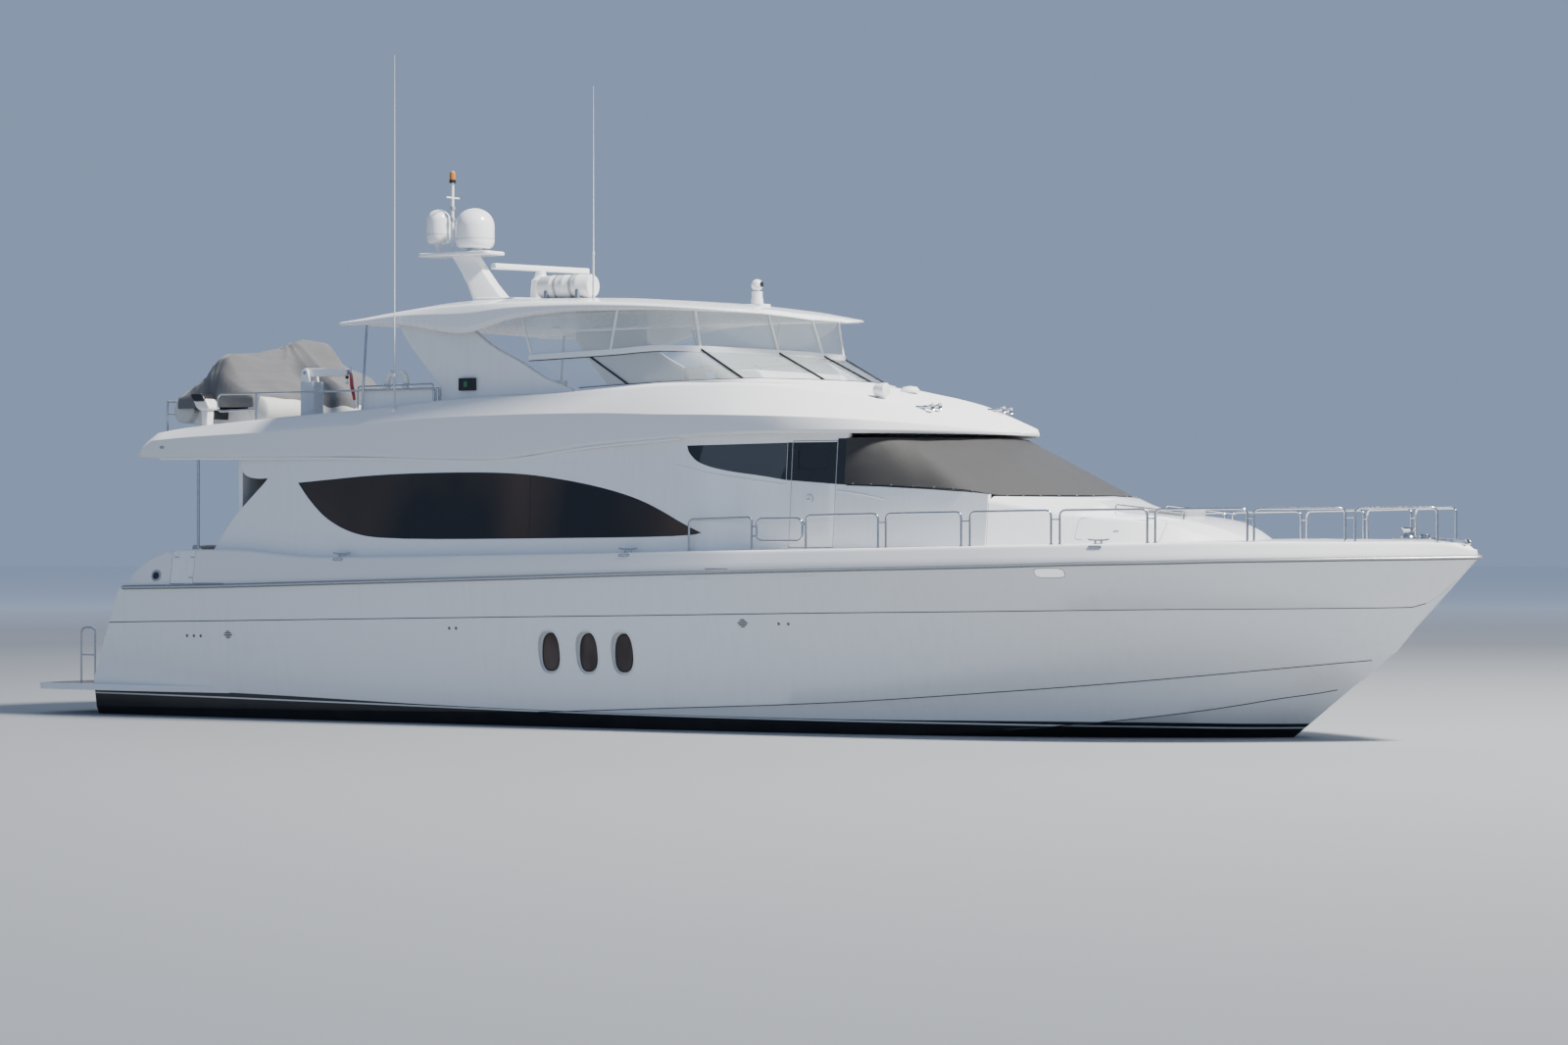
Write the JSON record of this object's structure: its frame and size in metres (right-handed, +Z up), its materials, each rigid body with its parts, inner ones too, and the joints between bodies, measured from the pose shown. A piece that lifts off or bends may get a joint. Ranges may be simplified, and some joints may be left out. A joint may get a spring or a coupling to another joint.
{
  "type": "motor yacht",
  "caption": "Motor yacht with enclosed flybridge, swim platform, hinged gates and doors, stowed tender with crane, turning radar, propellers and rudders.",
  "frame": {"origin": "amidships on the centreline at the waterline", "axes": "+X towards the bow, +Y to port, +Z up"},
  "size_m": [24.418, 6.576, 11.9607],
  "materials": {
    "hull": "glossy white gelcoat",
    "deck": "glossy white gelcoat",
    "rub_rail": "brushed",
    "swim_platform": "glossy white gelcoat",
    "trunk": "glossy white gelcoat",
    "aft_bulkhead": "glossy white gelcoat",
    "saloon_door": "dark tinted",
    "windscreen": "dark tinted",
    "windscreen_cover": "woven mesh",
    "flybridge": "glossy white gelcoat",
    "hardtop": "glossy white gelcoat",
    "enclosure_frame": "white paint",
    "lower_screen": "clear",
    "upper_screen": "clear",
    "mast": "glossy white gelcoat",
    "satellite_dome": "glossy white gelcoat",
    "small_dome": "glossy white gelcoat",
    "radar_array": "white paint",
    "life_raft": "glossy white gelcoat",
    "aerial_aft": "glossy white gelcoat",
    "aerial_forward": "glossy white gelcoat",
    "crane_column": "white paint",
    "crane_boom": "white paint",
    "tender": "matte",
    "tender_cover": "woven mesh",
    "tender_outboard": "white paint",
    "helm_console": "glossy white gelcoat",
    "helm_wheel": "polished stainless",
    "helm_seat": "marine vinyl",
    "settee": "marine vinyl",
    "cockpit_settee": "woven mesh",
    "windlass": "polished stainless",
    "foredeck_hatch": "glossy white gelcoat",
    "house_side": "glossy white gelcoat",
    "saloon_glass": "dark tinted",
    "side_glass": "dark tinted",
    "pilothouse_door": "glossy white gelcoat",
    "wing": "glossy white gelcoat",
    "overhang_post": "polished stainless",
    "bow_rail": "polished stainless",
    "boat_deck_rail": "polished stainless",
    "gate": "polished stainless",
    "quarter_gate": "glossy white gelcoat",
    "shaft": "brushed",
    "propeller": "bronze",
    "rudder": "white paint"
  },
  "bodies": {
    "yacht": {"hull": "hull", "deck": "deck", "rub_rail": "rub_rail", "swim_platform": "swim_platform", "trunk": "trunk", "aft_bulkhead": "aft_bulkhead", "windscreen": "windscreen", "windscreen_cover": "windscreen_cover", "flybridge": "flybridge", "hardtop": "hardtop", "enclosure_frame": "enclosure_frame", "lower_screen": "lower_screen", "upper_screen": "upper_screen", "mast": "mast", "satellite_dome": "satellite_dome", "small_dome": "small_dome", "life_raft": "life_raft", "aerial_aft": "aerial_aft", "aerial_forward": "aerial_forward", "tender": "tender", "tender_cover": "tender_cover", "tender_outboard": "tender_outboard", "helm_console": "helm_console", "helm_seat": "helm_seat", "settee": "settee", "cockpit_settee": "cockpit_settee", "windlass": "windlass", "house_side_starboard": "house_side", "house_side_port": "house_side", "saloon_glass_starboard": "saloon_glass", "saloon_glass_port": "saloon_glass", "side_glass_starboard": "side_glass", "side_glass_port": "side_glass", "wing_starboard": "wing", "wing_port": "wing", "overhang_post_starboard": "overhang_post", "overhang_post_port": "overhang_post", "bow_rail_starboard": "bow_rail", "bow_rail_port": "bow_rail", "boat_deck_rail_starboard": "boat_deck_rail", "boat_deck_rail_port": "boat_deck_rail", "shaft_starboard": "shaft", "shaft_port": "shaft"},
    "saloon_door": {"saloon_door": "saloon_door"},
    "radar_array": {"radar_array": "radar_array"},
    "crane_column": {"crane_column": "crane_column"},
    "crane_boom": {"crane_boom": "crane_boom"},
    "helm_wheel": {"helm_wheel": "helm_wheel"},
    "foredeck_hatch": {"foredeck_hatch": "foredeck_hatch"},
    "propeller_starboard": {"propeller_starboard": "propeller"},
    "propeller_port": {"propeller_port": "propeller"},
    "rudder_starboard": {"rudder_starboard": "rudder"},
    "rudder_port": {"rudder_port": "rudder"},
    "pilothouse_door_starboard": {"pilothouse_door_starboard": "pilothouse_door"},
    "pilothouse_door_port": {"pilothouse_door_port": "pilothouse_door"},
    "gate_starboard": {"gate_starboard": "gate"},
    "gate_port": {"gate_port": "gate"},
    "quarter_gate_starboard": {"quarter_gate_starboard": "quarter_gate"},
    "quarter_gate_port": {"quarter_gate_port": "quarter_gate"}
  },
  "joints": [
    {"name": "propeller_starboard_spin", "type": "hinge", "parent": "yacht", "child": "propeller_starboard", "pos_m": [-8.7, -1.25, -1.15], "axis": [0.9945, 0, 0.1044], "continuous": true},
    {"name": "rudder_starboard_turn", "type": "hinge", "parent": "yacht", "child": "rudder_starboard", "pos_m": [-9.55, -1.25, -1], "axis": [0, 0, 1], "range_deg": [-35, 35]},
    {"name": "pilothouse_door_starboard_swing", "type": "hinge", "parent": "yacht", "child": "pilothouse_door_starboard", "pos_m": [3.1523, -2.51265, 2.8], "axis": [0, 0.0963, 0.9954], "range_deg": [-95, 0]},
    {"name": "gate_starboard_swing", "type": "hinge", "parent": "yacht", "child": "gate_starboard", "pos_m": [2, -2.96, 2.95], "axis": [0, 0, 1], "range_deg": [-95, 0]},
    {"name": "quarter_gate_starboard_swing", "type": "hinge", "parent": "yacht", "child": "quarter_gate_starboard", "pos_m": [-8.5637, -3.0959, 2.2], "axis": [0, 0.1634, 0.9866], "range_deg": [0, 95]},
    {"name": "propeller_port_spin", "type": "hinge", "parent": "yacht", "child": "propeller_port", "pos_m": [-8.7, 1.25, -1.15], "axis": [0.9945, 0, 0.1044], "continuous": true},
    {"name": "rudder_port_turn", "type": "hinge", "parent": "yacht", "child": "rudder_port", "pos_m": [-9.55, 1.25, -1], "axis": [0, 0, 1], "range_deg": [-35, 35]},
    {"name": "pilothouse_door_port_swing", "type": "hinge", "parent": "yacht", "child": "pilothouse_door_port", "pos_m": [3.1523, 2.51265, 2.8], "axis": [0, -0.0963, 0.9954], "range_deg": [0, 95]},
    {"name": "gate_port_swing", "type": "hinge", "parent": "yacht", "child": "gate_port", "pos_m": [2, 2.96, 2.95], "axis": [0, 0, 1], "range_deg": [0, 95]},
    {"name": "quarter_gate_port_swing", "type": "hinge", "parent": "yacht", "child": "quarter_gate_port", "pos_m": [-8.5637, 3.0959, 2.2], "axis": [0, -0.1634, 0.9866], "range_deg": [-95, 0]},
    {"name": "radar_turn", "type": "hinge", "parent": "yacht", "child": "radar_array", "pos_m": [-3.94, 0, 7.14], "axis": [0, 0, 1], "continuous": true},
    {"name": "saloon_door_slide", "type": "slide", "parent": "yacht", "child": "saloon_door", "axis": [0, 1, 0], "range_m": [0, 1.45]},
    {"name": "foredeck_hatch_lid", "type": "hinge", "parent": "yacht", "child": "foredeck_hatch", "pos_m": [10.442, 0, 2.835], "axis": [0, 1, 0], "range_deg": [0, 90]},
    {"name": "helm_steer", "type": "hinge", "parent": "yacht", "child": "helm_wheel", "pos_m": [0.485, 0.9, 5.24], "axis": [0.8151, 0, -0.5793], "range_deg": [-540, 540]},
    {"name": "crane_slew", "type": "hinge", "parent": "yacht", "child": "crane_column", "pos_m": [-6.85, -2.2, 5], "axis": [0, 0, 1], "range_deg": [-120, 30]},
    {"name": "crane_luff", "type": "hinge", "parent": "crane_column", "child": "crane_boom", "pos_m": [-6.9, -2.2, 5.5], "axis": [0, -1, 0], "range_deg": [0, 60]}
  ]
}
